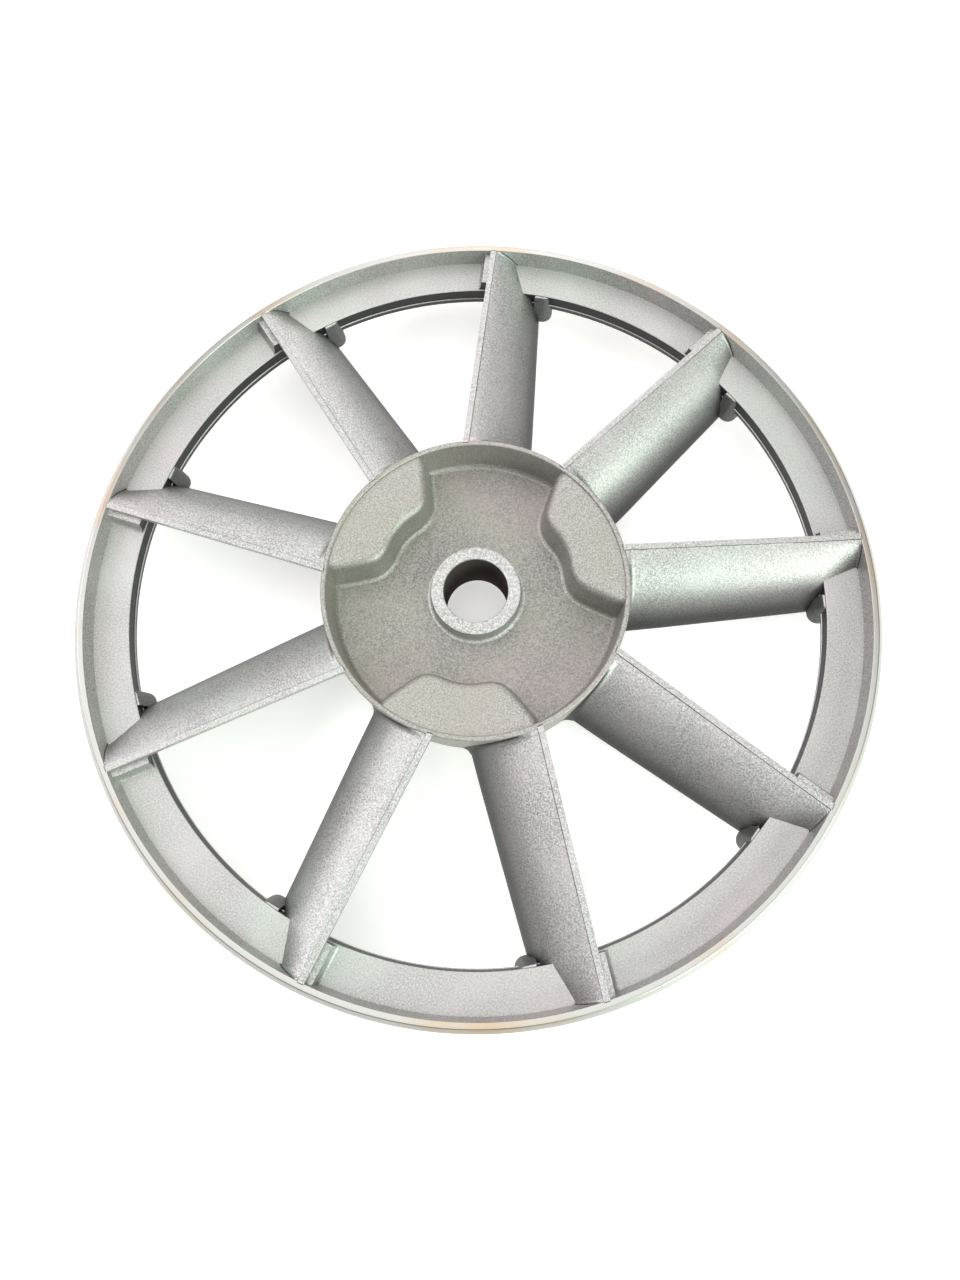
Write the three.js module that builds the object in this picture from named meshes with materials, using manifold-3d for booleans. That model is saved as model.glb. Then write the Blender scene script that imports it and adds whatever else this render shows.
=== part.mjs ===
// Fan-bladed flywheel of a belt-driven air compressor: one aluminium casting, laid out as its
// named regions. Units are millimetres. The bore is the Z axis, the bladed front faces +Z, and
// the back end of the bore collar lies at Z = 0.
import * as THREE from 'three';
import { mergeVertices } from 'three/addons/utils/BufferGeometryUtils.js';
import Module from 'manifold-3d';

// ---- driving dimensions ----
const GAP = 0.3; // clearance that keeps neighbouring regions separate solids
const CURVED_GAP = 0.8; // the same where a flat-faced end meets the round hub wall
const SIDE_GAP = 0.4; // the same along the curved faces of a blade
const BLADES = 9;
const BOSSES = 3;
const BLADE_PITCH = (2 * Math.PI) / BLADES;
const FIRST_BLADE = Math.PI / 2; // radial direction that blade 1 is parallel to

const FRONT_Z = 38.5; // machined front face of the rim
const RIM_WIDTH = 27;
const RIM_OUTER_R = 152.4;
const RIM_LIP_R = 148.8; // inner wall at the front and back edges
const RIM_WEB_R = 147.8; // inner wall where the flange meets it
const RIM_CHAMFER = 1.5;
const GROOVES = 6; // V-ribbed belt, J section
const GROOVE_PITCH = 2.34;
const GROOVE_DEPTH = 1.8;
const GROOVE_LAND = 0.1; // flat beside each side of a groove, as a share of the pitch

const FLANGE_DROP = 8.5; // from the rim's front face down to the flange
const FLANGE_THICKNESS = 9.5;
const FLANGE_INNER_R = 133.9;
const PAD_R = 4; // round-ended pad under the flange, against the deep side of each blade
const PAD_OFFSET = -12.5;
const PAD_DEPTH = 25.5; // from the rim's front face to the pad's back
const PAD_OVERLAP = 4; // how far the pad reaches up into the flange
const PAD_END_R = 146; // the pad's square end, just inside the rim

const BLADE_DEPTH = 26;
const BLADE_THICKNESS = 3.2;
const LAND_INNER = 10; // the flat land along each crest, as offsets from the blade's radial line
const LAND_OUTER = 12.3;
const LAND_STEP = 0.4;
const CREST_WALL = 2.6; // height of the wall behind the crest, down to the plate's back
const LEDGE_WIDTH = 3.7; // stepped foot behind the crest, above the flange
const LEDGE_DROP = 2.7;
const LEDGE_FLAT = 2.2;

const HUB_TOP_Z = FRONT_Z + 2;
const HUB_OUTER_R = 58.8;
const HUB_WALL = 2; // at the ring's top and at the skirt's back edge
const HUB_SKIRT_ROOT = 4; // thickness of the skirt where it leaves the floor
const HUB_DRAFT = 1.2; // how far the outer wall leans in from top to bottom
const HUB_FLOOR_DROP = 18; // from the ring's top down to the floor
const HUB_FLOOR_THICKNESS = 6;
const HUB_FLOOR_R = 55.4;
const BOSS_TOP_DROP = 1; // from the ring's top down to the bosses
const BOSS_DRAFT = 1.5;

const COLLAR_R = 17.5;
const COLLAR_TOP_DROP = 8.2; // from the rim's front face
const BORE_R = 12.5;
const COLLAR_CHAMFER = 0.6;

// ---- derived sizes ----
const RIM_BACK_Z = FRONT_Z - RIM_WIDTH;
const FLANGE_TOP_Z = FRONT_Z - FLANGE_DROP;
const FLANGE_BACK_Z = FLANGE_TOP_Z - FLANGE_THICKNESS;
const PAD_BACK_Z = FRONT_Z - PAD_DEPTH;
const HUB_FLOOR_Z = HUB_TOP_Z - HUB_FLOOR_DROP;
const HUB_BACK_Z = FRONT_Z - BLADE_DEPTH;
const BOSS_TOP_Z = HUB_TOP_Z - BOSS_TOP_DROP;
const REACH = 30; // sideways reach of the cut that trims one end of a flange segment
const OVERRUN = 6; // how far cuts run past what they trim

// ---- facets ----
const RIM_SEGMENTS = 64;
const HUB_SEGMENTS = 60;
const COLLAR_SEGMENTS = 48;
const FLANGE_SEGMENTS = 12;
const PAD_SEGMENTS = 6;
const SECTION_STEPS = 8; // along the front surface of a blade's section
const BACKED_STEPS = 4; // how many of those lie above the flange
const BOSS_ARC_STEPS = 8;
const WELD_DISTANCE = 1e-4;

// ---- materials ----
const castGrey = { color: 0xb4b6b2, roughness: 0.62, metalness: 0.85 };
const bladeGrey = { color: 0xb0b3ae, roughness: 0.6, metalness: 0.85 };
const hubGrey = { color: 0xa5a49f, roughness: 0.68, metalness: 0.85 };
const turnedGrey = { color: 0xd6d7d6, roughness: 0.3, metalness: 0.95 };

// ---- solids ----
const wasm = await Module();
wasm.setup();

function toSolid(geometry) {
  const bare = geometry.clone();
  bare.deleteAttribute('normal');
  bare.deleteAttribute('uv');
  const merged = mergeVertices(bare, WELD_DISTANCE);
  return new wasm.Manifold(new wasm.Mesh({
    numProp: 3,
    vertProperties: new Float32Array(merged.attributes.position.array),
    triVerts: new Uint32Array(merged.index.array),
  }));
}

function toGeometry(solid) {
  const mesh = solid.getMesh();
  const geometry = new THREE.BufferGeometry();
  geometry.setAttribute('position', new THREE.BufferAttribute(mesh.vertProperties, 3));
  geometry.setIndex(new THREE.BufferAttribute(mesh.triVerts, 1));
  return geometry;
}

// A profile of [radius, height] points, turned about Z. The points run anticlockwise.
function turned(profile, segments) {
  const points = [...profile, profile[0]].map(([radius, height]) => new THREE.Vector2(radius, height));
  return new THREE.LatheGeometry(points, segments).rotateX(Math.PI / 2);
}

// A closed solid through two or more rings of points with matching counts.
function loft(rings) {
  const count = rings[0].length;
  const positions = rings.flat().flatMap((point) => point.toArray());
  const indices = [];
  for (let ring = 0; ring + 1 < rings.length; ring += 1) {
    for (let i = 0; i < count; i += 1) {
      const a = ring * count + i;
      const b = ring * count + ((i + 1) % count);
      indices.push(a, b, b + count, a, b + count, a + count);
    }
  }
  const outline = rings[0].map((point) => new THREE.Vector2(point.y, point.z));
  const last = (rings.length - 1) * count;
  for (const [a, b, c] of THREE.ShapeUtils.triangulateShape(outline, [])) {
    indices.push(a, c, b, last + a, last + b, last + c);
  }
  const geometry = new THREE.BufferGeometry();
  geometry.setAttribute('position', new THREE.Float32BufferAttribute(positions, 3));
  geometry.setIndex(indices);
  return geometry;
}

// ---- blades: X runs along the blade, Y across it (anticlockwise), Z is the wheel's axis ----
const STATIONS = { hub: HUB_OUTER_R, flange: FLANGE_INNER_R, rim: RIM_WEB_R };
const SECTION_CURVES = {
  hub: [[LAND_INNER, -1.6], [-2, 1.5], [-13, 9], [-15.5, BLADE_DEPTH]],
  flange: [[LAND_INNER, LAND_STEP], [0, 4], [-9, 10], [-11.2, BLADE_DEPTH]],
  rim: [[LAND_INNER, LAND_STEP], [4, 3], [-1, 12], [-9.8, BLADE_DEPTH]],
};
const ROOT_INSET = 0.2; // keeps the faces of joined blocks off each other's planes
const LEDGE_ROOT = 1; // how far the ledge reaches into the backing

function mixCurves(from, to, share) {
  return from.map(([offset, drop], i) => new THREE.Vector2(
    THREE.MathUtils.lerp(offset, to[i][0], share),
    THREE.MathUtils.lerp(drop, to[i][1], share),
  ));
}

// The front surface of a blade at a distance along it, as a curve of (offset, drop) points.
function frontCurve(along) {
  const inner = along < STATIONS.flange;
  const [from, to] = inner ? ['hub', 'flange'] : ['flange', 'rim'];
  const share = (along - STATIONS[from]) / (STATIONS[to] - STATIONS[from]);
  return new THREE.CubicBezierCurve(...mixCurves(SECTION_CURVES[from], SECTION_CURVES[to], share));
}

// The front curve moved towards the viewer by a distance, or away from the viewer if negative.
function shifted(along, distance) {
  const curve = frontCurve(along);
  return Array.from({ length: SECTION_STEPS + 1 }, (_, i) => {
    const share = i / SECTION_STEPS;
    const tangent = curve.getTangent(share);
    const point = curve.getPoint(share);
    return [point.x - tangent.y * distance, point.y + tangent.x * distance];
  });
}

// The height of the crest's land above the rim's front face, at a distance along the blade.
function crestRise(along) {
  const share = (along - STATIONS.hub) / (STATIONS.flange - STATIONS.hub);
  return (HUB_TOP_Z - FRONT_Z) * THREE.MathUtils.clamp(1 - share, 0, 1);
}

function plateOutline(along) {
  const rise = crestRise(along);
  const front = shifted(along, 0);
  const back = shifted(along, -BLADE_THICKNESS).reverse();
  return [[LAND_OUTER, CREST_WALL - rise], [LAND_OUTER, -rise], [LAND_INNER, -rise], ...front, ...back];
}

// Above the flange the plate is backed by solid metal, from the plate's middle to the flange.
function backingOutline(along) {
  const foot = FLANGE_DROP - GAP - ROOT_INSET;
  const middle = shifted(along, -BLADE_THICKNESS / 2).slice(0, BACKED_STEPS);
  return [
    [LAND_OUTER - ROOT_INSET, foot],
    [LAND_OUTER - ROOT_INSET, BLADE_THICKNESS / 2],
    ...middle,
    [middle.at(-1)[0], foot],
  ];
}

function ledgeOutline() {
  return [
    [LAND_OUTER + LEDGE_WIDTH, FLANGE_DROP - GAP],
    [LAND_OUTER + LEDGE_FLAT, LEDGE_DROP],
    [LAND_OUTER - LEDGE_ROOT, LEDGE_DROP],
    [LAND_OUTER - LEDGE_ROOT, FLANGE_DROP - GAP],
  ];
}

const hubWallRadius = (z) => HUB_OUTER_R - (HUB_DRAFT * (HUB_TOP_Z - z)) / (HUB_TOP_Z - HUB_BACK_Z);

// Outline points at a distance along the blade; a wall radius wraps them onto that round wall.
function bladeRing(outline, along, wallRadius) {
  return outline.map(([offset, drop]) => {
    const z = FRONT_Z - drop;
    const x = wallRadius ? Math.sqrt(wallRadius(z) ** 2 - offset ** 2) : along;
    return new THREE.Vector3(x, offset, z);
  });
}

function bladeSolid() {
  const hubEnd = (z) => hubWallRadius(z) + CURVED_GAP;
  const rimEnd = (inset) => () => RIM_WEB_R - GAP - inset;
  const plate = loft([
    bladeRing(plateOutline(STATIONS.hub), STATIONS.hub, hubEnd),
    bladeRing(plateOutline(STATIONS.flange), STATIONS.flange),
    bladeRing(plateOutline(STATIONS.rim), STATIONS.rim, rimEnd(0)),
  ]);
  const backing = loft([
    bladeRing(backingOutline(STATIONS.flange + GAP), STATIONS.flange + GAP),
    bladeRing(backingOutline(STATIONS.rim), STATIONS.rim, rimEnd(ROOT_INSET)),
  ]);
  const ledge = loft([
    bladeRing(ledgeOutline(), STATIONS.flange + 2 * GAP),
    bladeRing(ledgeOutline(), STATIONS.rim, rimEnd(2 * ROOT_INSET)),
  ]);
  return toSolid(plate).add(toSolid(backing)).add(toSolid(ledge));
}

// ---- flange segments ----
// All that lies to one side (1 anticlockwise, -1 clockwise) of a blade's shifted front surface.
function besideBlade(distance, side) {
  const rings = [STATIONS.flange - 2 * OVERRUN, STATIONS.flange, STATIONS.rim + OVERRUN].map((along) => {
    const edge = shifted(along, distance);
    const outline = side > 0
      ? [...edge, [REACH, BLADE_DEPTH], [REACH, 0]]
      : [...edge.reverse(), [-REACH, 0], [-REACH, BLADE_DEPTH]];
    return bladeRing(outline, along);
  });
  return toSolid(loft(rings));
}

function onBlade(solid, turns) {
  return solid.rotate([0, 0, THREE.MathUtils.radToDeg(-turns * BLADE_PITCH)]);
}

function padSolid() {
  const shape = new THREE.Shape();
  shape.moveTo(PAD_END_R, PAD_R);
  shape.absarc(FLANGE_INNER_R, 0, PAD_R, Math.PI / 2, Math.PI * 1.5, false);
  shape.lineTo(PAD_END_R, -PAD_R);
  const pad = new THREE.ExtrudeGeometry(shape, {
    depth: FLANGE_BACK_Z + PAD_OVERLAP - PAD_BACK_Z,
    bevelEnabled: false,
    curveSegments: PAD_SEGMENTS,
  });
  return toSolid(pad.translate(0, PAD_OFFSET, PAD_BACK_Z));
}

function flangeSolid() {
  const outer = RIM_WEB_R - GAP;
  const sweep = BLADE_PITCH + 2 * Math.asin(REACH / 2 / FLANGE_INNER_R);
  const middle = -BLADE_PITCH / 2;
  const shape = new THREE.Shape();
  shape.absarc(0, 0, outer, middle - sweep / 2, middle + sweep / 2, false);
  shape.absarc(0, 0, FLANGE_INNER_R, middle + sweep / 2, middle - sweep / 2, true);
  const arc = new THREE.ExtrudeGeometry(shape, {
    depth: FLANGE_THICKNESS,
    bevelEnabled: false,
    curveSegments: FLANGE_SEGMENTS,
  }).translate(0, 0, FLANGE_BACK_Z);
  return toSolid(arc)
    .add(padSolid())
    .subtract(besideBlade(SIDE_GAP, 1))
    .subtract(onBlade(besideBlade(-BLADE_THICKNESS - SIDE_GAP, -1), 1));
}

// ---- rim ----
function rimGeometry() {
  const grooveTop = FRONT_Z - (RIM_WIDTH - GROOVES * GROOVE_PITCH) / 2;
  const grooves = Array.from({ length: GROOVES }, (_, i) => {
    const z = grooveTop - i * GROOVE_PITCH;
    return [
      [RIM_OUTER_R, z - GROOVE_PITCH * GROOVE_LAND],
      [RIM_OUTER_R - GROOVE_DEPTH, z - GROOVE_PITCH / 2],
      [RIM_OUTER_R, z - GROOVE_PITCH * (1 - GROOVE_LAND)],
    ];
  }).flat().reverse();
  return turned([
    [RIM_LIP_R, RIM_BACK_Z],
    [RIM_OUTER_R - RIM_CHAMFER, RIM_BACK_Z],
    [RIM_OUTER_R, RIM_BACK_Z + RIM_CHAMFER],
    ...grooves,
    [RIM_OUTER_R, FRONT_Z - RIM_CHAMFER],
    [RIM_OUTER_R - RIM_CHAMFER, FRONT_Z],
    [RIM_LIP_R, FRONT_Z],
    [RIM_WEB_R, FLANGE_TOP_Z],
    [RIM_WEB_R, FLANGE_BACK_Z],
  ], RIM_SEGMENTS);
}

// ---- hub ----
function hubCupGeometry() {
  const hole = COLLAR_R + GAP;
  const skirt = HUB_OUTER_R - HUB_DRAFT;
  return turned([
    [hole, HUB_FLOOR_Z - HUB_FLOOR_THICKNESS],
    [skirt - HUB_SKIRT_ROOT, HUB_FLOOR_Z - HUB_FLOOR_THICKNESS],
    [skirt - HUB_WALL, HUB_BACK_Z],
    [skirt, HUB_BACK_Z],
    [HUB_OUTER_R, HUB_TOP_Z],
    [HUB_OUTER_R - HUB_WALL, HUB_TOP_Z],
    [HUB_FLOOR_R, HUB_FLOOR_Z],
    [hole, HUB_FLOOR_Z],
  ], HUB_SEGMENTS);
}

// Half of the two-lobed inner edge, as [across, out] from the middle dip to the ring wall.
const BOSS_EDGE = [[0, 37.6], [4.5, 37.2], [9.5, 35.9], [14, 35.9], [17.5, 37.6], [21.5, 41], [27.5, 46.6]];

function bossRing(z, grow) {
  const wall = THREE.MathUtils.mapLinear(z, HUB_FLOOR_Z, HUB_TOP_Z, HUB_FLOOR_R, HUB_OUTER_R - HUB_WALL) - GAP;
  const half = BOSS_EDGE.map(([across, out]) => [across * (1 + grow / HUB_FLOOR_R), out - grow]);
  const [lastAcross, lastOut] = half.at(-1);
  const end = Math.atan2(lastAcross, lastOut);
  const arc = Array.from({ length: BOSS_ARC_STEPS + 1 }, (_, i) => {
    const angle = end - (2 * end * i) / BOSS_ARC_STEPS;
    return [wall * Math.sin(angle), wall * Math.cos(angle)];
  });
  const mirrored = half.slice(1).map(([across, out]) => [-across, out]).reverse();
  return [...mirrored, ...half, ...arc].map(([across, out]) => new THREE.Vector3(z, out, -across));
}

function bossGeometry() {
  const geometry = loft([bossRing(HUB_FLOOR_Z + GAP, BOSS_DRAFT), bossRing(BOSS_TOP_Z, 0)]);
  return geometry.rotateY(-Math.PI / 2).rotateZ(-Math.PI / 2);
}

function collarGeometry() {
  const top = FRONT_Z - COLLAR_TOP_DROP;
  return turned([
    [BORE_R, COLLAR_CHAMFER],
    [BORE_R + COLLAR_CHAMFER, 0],
    [COLLAR_R - COLLAR_CHAMFER, 0],
    [COLLAR_R, COLLAR_CHAMFER],
    [COLLAR_R, top - COLLAR_CHAMFER],
    [COLLAR_R - COLLAR_CHAMFER, top],
    [BORE_R + COLLAR_CHAMFER, top],
    [BORE_R, top - COLLAR_CHAMFER],
  ], COLLAR_SEGMENTS);
}

// ---- assembly ----
const flywheel = new THREE.Group();

function addRegion(name, geometry, finish, angle = 0) {
  const region = new THREE.Mesh(geometry, new THREE.MeshStandardMaterial(finish));
  region.name = name;
  region.rotation.z = angle;
  flywheel.add(region);
}

addRegion('rim', rimGeometry(), turnedGrey);
addRegion('hub_cup', hubCupGeometry(), hubGrey);
addRegion('bore_collar', collarGeometry(), turnedGrey);

const blade = toGeometry(bladeSolid());
const flange = toGeometry(flangeSolid());
for (let i = 0; i < BLADES; i += 1) {
  const angle = FIRST_BLADE - i * BLADE_PITCH;
  addRegion(`blade_${i + 1}`, blade, bladeGrey, angle);
  addRegion(`rim_flange_${i + 1}`, flange, castGrey, angle);
}

const boss = bossGeometry();
for (let i = 0; i < BOSSES; i += 1) {
  const angle = FIRST_BLADE - BLADE_PITCH * 1.5 - (i * 2 * Math.PI) / BOSSES;
  addRegion(`hub_boss_${i + 1}`, boss, hubGrey, angle);
}

export default flywheel;
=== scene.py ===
"""Fan-bladed flywheel of a belt-driven air compressor: one aluminium casting in its named pieces.

Sizes are in metres. The bore is the Z axis and the bladed front faces +Z.
"""
import math

import bmesh
import bpy
from bpy.props import FloatProperty, FloatVectorProperty, IntProperty, PointerProperty
from mathutils import Matrix, Vector
from mathutils.geometry import interpolate_bezier


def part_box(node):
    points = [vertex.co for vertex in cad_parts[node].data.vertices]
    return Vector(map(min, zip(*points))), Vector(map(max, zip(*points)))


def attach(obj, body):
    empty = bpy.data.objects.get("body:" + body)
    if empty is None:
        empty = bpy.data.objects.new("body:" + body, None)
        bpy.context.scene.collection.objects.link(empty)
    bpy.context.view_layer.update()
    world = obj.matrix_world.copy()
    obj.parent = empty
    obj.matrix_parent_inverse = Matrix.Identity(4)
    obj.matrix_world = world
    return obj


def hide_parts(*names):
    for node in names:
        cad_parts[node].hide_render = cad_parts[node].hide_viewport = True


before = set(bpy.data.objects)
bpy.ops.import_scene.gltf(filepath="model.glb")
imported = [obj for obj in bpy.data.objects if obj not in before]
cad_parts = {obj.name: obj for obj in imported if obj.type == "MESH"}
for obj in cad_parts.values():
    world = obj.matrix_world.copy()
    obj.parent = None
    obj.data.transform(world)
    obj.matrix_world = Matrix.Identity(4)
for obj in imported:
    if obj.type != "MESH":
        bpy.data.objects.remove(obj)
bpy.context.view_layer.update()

bl_info = {
    "name": "Bladed Flywheel",
    "version": (1, 0, 0),
    "blender": (4, 5, 0),
    "location": "3D View > Sidebar > Flywheel",
    "description": "Builds a cast flywheel with nine fan blades around its packed frame",
    "category": "Object",
}

MM = 0.001
RIM_LOW, RIM_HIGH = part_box("rim")
FLANGE_LOW, FLANGE_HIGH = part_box("rim_flange_1")
HUB_LOW, HUB_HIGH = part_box("hub_cup")
BOSS_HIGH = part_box("hub_boss_1")[1]
COLLAR_LOW, COLLAR_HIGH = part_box("bore_collar")

BLADES = 9
BOSSES = 3
BLADE_PITCH = 2 * math.pi / BLADES
FIRST_BLADE = math.pi / 2
SHARP_ANGLE = math.radians(34)  # edges that turn by more than this are drawn sharp
CORNER_ANGLE = math.radians(50)  # edges of the blade's section that turn by more are rounded
SEAM_TURN = math.radians(2.5)  # the flange's segments meet this far past each blade's radial line
FINE_TURN = 216  # facets round the rim; the same count per degree is used on its flange
COLLAR_TURN = 120  # facets round the collar
TOUCH = 0.02 * MM  # points closer than this count as being at one place
SINK = 0.4 * MM  # how far a piece reaches into the metal of its neighbour
FLOOR_GAP = 0.2 * MM  # the stage's floor lies this far below the collar

# Front surface of a blade at three places along it, as the four control points of a curve:
# millimetres across the blade (anticlockwise) and below the rim's front face.
BLADE_CURVES = {
    "hub": ((10, -1.6), (-2, 1.5), (-13, 9), (-15.5, 26)),
    "flange": ((10, 0.4), (0, 4), (-9, 10), (-11.2, 26)),
    "rim": ((10, 0.4), (4, 3), (-1, 12), (-9.8, 26)),
}
CURVE_STEPS = 20
# Distances along a blade, in millimetres, of the sections between its two fillets.
BLADE_STATIONS = (72, 86, 100, 114, 126, 133.9, 138, 142)
FILLET_SHARE = 0.8  # most that a blade's fillet may swell, as a share of the depth below its step
DEEP_SHARE = 0.8  # corners below this share of a blade's depth belong to its deep edge
LEDGE_MIDDLE = 140 * MM  # distance along the blade of the ledge's last flat section
LEDGE_STEPS = 8
# Concave foot of the ledge behind a crest, as a curve's control points: millimetres across and up,
# measured from the ledge's edge, from the flange below that edge, and twice from the foot's toe.
LEDGE_FOOT = ((0.2, -0.3), (0.5, 1.5), (-0.8, 0), (0.6, -0.05))
# Half of a boss's two-lobed inner edge, from its middle dip to the ring wall:
# millimetres across, and out from the wheel's axis.
BOSS_EDGE = (
    (0, 37.6), (4.5, 37.2), (9.5, 35.9), (14, 35.9), (17.5, 37.6), (21.5, 41), (27.5, 46.6), (29.6, 50)
)
BOSS_ARC_STEPS = 24
BOSS_CURVE_STEPS = 6

# The camera stands in front of the wheel, a little below its middle, and is turned slightly.
CAMERA_PLACE = (0.023681, -0.110320, 0.431049)
CAMERA_TARGET = (-0.00489, 0.04442, 0.0385)
CAMERA_ROLL = math.radians(-3.427)
CAMERA_LENS = 30.107
CAMERA_SHIFT = (0.002085, -0.12891)
# Soft lights: place, side of the square, watts and colour.
LIGHTS = {
    "window": ((1.3, -0.9, 0.8), 1.2, 28, (0.86, 1.0, 0.9)),
    "doorway": ((-0.1, 1.3, 0.9), 1.2, 8, (1.0, 0.95, 0.97)),
    "left wall": ((-1.3, 0.2, 0.9), 1.0, 9, (1.0, 0.92, 1.0)),
    "ceiling": ((-0.1, 0.1, 1.6), 1.6, 12, (1.0, 1.0, 1.0)),
}
# Blasted finishes: colours of high grains, low grains and two clouds, then the roughness and the
# share of painted shade that darkens the steep walls.
BLASTED = {
    "blasted_rim": ("cast_light", "cast_dark", "cast_green", "cast_rose", 0.5, 0.1),
    "blasted_blade": ("cast_light", "cast_dark", "cast_green", "cast_rose", 0.5, 0.95),
    "blasted_flange": ("flange_light", "flange_dark", "cast_green", "cast_rose", 0.5, 0.95),
    "blasted_hub": ("hub_light", "hub_dark", "hub_olive", "hub_rose", 0.56, 0.05),
    # Painted shade on the hub's recessed floor.
    "painted_floor_shade": ("floor_shade_high", "floor_shade_low", "hub_olive", "hub_rose", 0.56, 0.05),
    # Painted shade on the pads under the flange.
    "painted_pad_shade": ("pad_shade_high", "pad_shade_low", "pad_shade_high", "pad_shade_low", 0.6, 0.3),
}


def linear(hex_colour):
    """The linear RGB of an sRGB hex colour."""
    channels = [int(hex_colour[i:i + 2], 16) / 255 for i in (1, 3, 5)]
    return tuple(c / 12.92 if c <= 0.04045 else ((c + 0.055) / 1.055) ** 2.4 for c in channels)


def size(name, description, millimetres):
    return FloatProperty(
        name=name, description=description, default=millimetres * MM, unit="LENGTH", precision=4
    )


def colour(name, description, hex_colour):
    return FloatVectorProperty(
        name=name, description=description, default=linear(hex_colour), subtype="COLOR", min=0, max=1
    )


# ---- settings ----
class RimSizes(bpy.types.PropertyGroup):
    lip_radius: size("Lip radius", "Inner wall at the front and back edges", 148.8)
    web_radius: size("Web radius", "Inner wall where the flange meets it", 147.8)
    chamfer: size("Chamfer", "Chamfer of the outer corners", 1.5)
    edge_round: size("Edge round", "Rounding of the machined corners", 0.25)
    grooves: IntProperty(name="Grooves", description="V grooves for the ribbed belt", default=6, min=1)
    groove_pitch: size("Groove pitch", "Distance from groove to groove", 2.34)
    groove_depth: size("Groove depth", "Depth of each V groove", 1.8)
    groove_land: FloatProperty(
        name="Groove land", description="Share of the pitch that is flat beside each groove", default=0.1,
        min=0, max=0.4, subtype="FACTOR",
    )
    groove_floor: FloatProperty(
        name="Groove floor", description="Share of the pitch from a groove's middle to its floor's end",
        default=0.06, min=0, max=0.3, subtype="FACTOR",
    )


class FlangeSizes(bpy.types.PropertyGroup):
    inner_radius: size("Inner radius", "Radius of the inner wall at its parting line", 133.7)
    thickness: size("Thickness", "Front face to back face", 9.5)
    draft: size("Draft", "How far the inner wall leans back from its parting line", 0.35)
    parting_ridge: size("Parting ridge", "Height of the ridge left where the mould halves met", 0.35)
    parting_half: size("Parting half width", "Half of the ridge's width at its foot", 0.25)
    parting_drop: size("Parting drop", "Middle of the flange to the ridge", 0.8)
    edge_round: size("Edge round", "Rounding of the inner corners", 0.5)
    pad_radius: size("Pad radius", "Rounded end of the pad against each blade", 4)
    pad_offset: size("Pad offset", "Middle of the pad, clockwise from the blade's radial line", 12.5)
    pad_drop: size("Pad drop", "Flange's front face to the pad's front corner", 0.5)
    pad_lean: size("Pad lean", "How far the pad's nose leans outwards from bottom to top", 3)
    pad_end: size("Pad end", "Radius at which the pad ends, against the rim", 147.2)
    pad_round: size("Pad round", "Rounding of the pad's back corner", 2)
    pad_crown: size("Pad crown", "Rounding of the pad's front corner", 0.7)


class BladeSizes(bpy.types.PropertyGroup):
    thickness: size("Thickness", "Thickness of the curved plate", 3.2)
    depth: size("Depth", "Depth below the rim's front face", 26)
    land_inner: size("Land inner edge", "Clockwise edge of the flat land on the crest", 10)
    land_outer: size("Land outer edge", "Anticlockwise edge of the flat land on the crest", 12.3)
    step: size("Step", "Half the depth of the small step beside the land", 0.3)
    step_run: size("Step run", "Width of the small step's wall", 0.1)
    crest_wall: size("Crest wall", "Height of the wall behind the crest", 2.6)
    crest_rise: size("Crest rise", "How far the crest climbs from the rim to the hub", 2)
    ledge_flat: size("Ledge flat", "Width of the flat ledge behind the crest at the flange", 2.2)
    ledge_foot: size("Ledge foot", "Crest to the ledge's foot on the flange", 3.7)
    ledge_drop: size("Ledge drop", "Depth of the ledge below the rim's front face", 2.7)
    ledge_sink: size("Ledge sink", "How far the ledge's metal reaches down into the flange", 2)
    root_sink: size("Root sink", "How far the blade reaches into the hub's wall", 0.9)
    tip_sink: size("Tip sink", "How far the blade reaches into the rim's wall", 0.45)
    ledge_end: size("Ledge end", "How far the ledge reaches into the rim's wall", 0.3)
    flange_station: size("Flange station", "Distance along the blade of its flange section", 133.9)
    root_fillet: size("Root fillet", "Fillet where the blade meets the hub", 2.6)
    tip_clear: size("Tip clear", "Length next to the rim whose corners stay sharp", 0.6)
    tip_fillet: size("Tip fillet", "Fillet where the blade meets the rim", 1)
    edge_round: size("Edge round", "Rounding of the crest", 0.22)
    deep_round: size("Deep edge round", "Rounding of the blade's deep edge", 1.2)


class HubSizes(bpy.types.PropertyGroup):
    wall: size("Ring wall", "Thickness of the ring at its top", 2)
    draft: size("Draft", "How far the outer wall leans in from top to bottom", 1.2)
    skirt_root: size("Skirt root", "Thickness of the skirt where it leaves the floor", 4)
    floor_drop: size("Floor drop", "Ring top to floor", 18)
    floor_thickness: size("Floor thickness", "Thickness of the floor", 6)
    floor_radius: size("Floor radius", "Inner wall at the floor", 55.4)
    floor_fillet: size("Floor fillet", "Fillet between the wall and the floor", 2.2)
    ring_round: size("Ring round", "Rounding of the ring's top corners", 0.6)
    boss_draft: size("Boss draft", "How far a boss widens from top to floor", 1.5)
    boss_round: size("Boss round", "Rounding of a boss's top edge", 2.8)
    boss_fillet: size("Boss fillet", "Fillet at the foot of a boss", 1.6)
    boss_sink: size("Boss sink", "How far a boss reaches into the floor", 0.5)
    hole_sink: size("Hole sink", "How far the floor reaches into the collar", 0.6)
    # The painted shade of the recessed floor reaches this far beside it.
    floor_shade_band: size("Floor band", "Height beside the floor that takes the floor's finish", 0.8)


class CollarSizes(bpy.types.PropertyGroup):
    bore_radius: size("Bore radius", "Radius of the shaft bore", 12.5)
    chamfer: size("Chamfer", "Chamfer of the collar's corners", 0.6)
    foot_fillet: size("Foot fillet", "Fillet between the collar and the hub floor", 1.6)
    foot_sink: size("Foot sink", "How far the fillet's edge reaches into the hub floor", 0.3)


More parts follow.
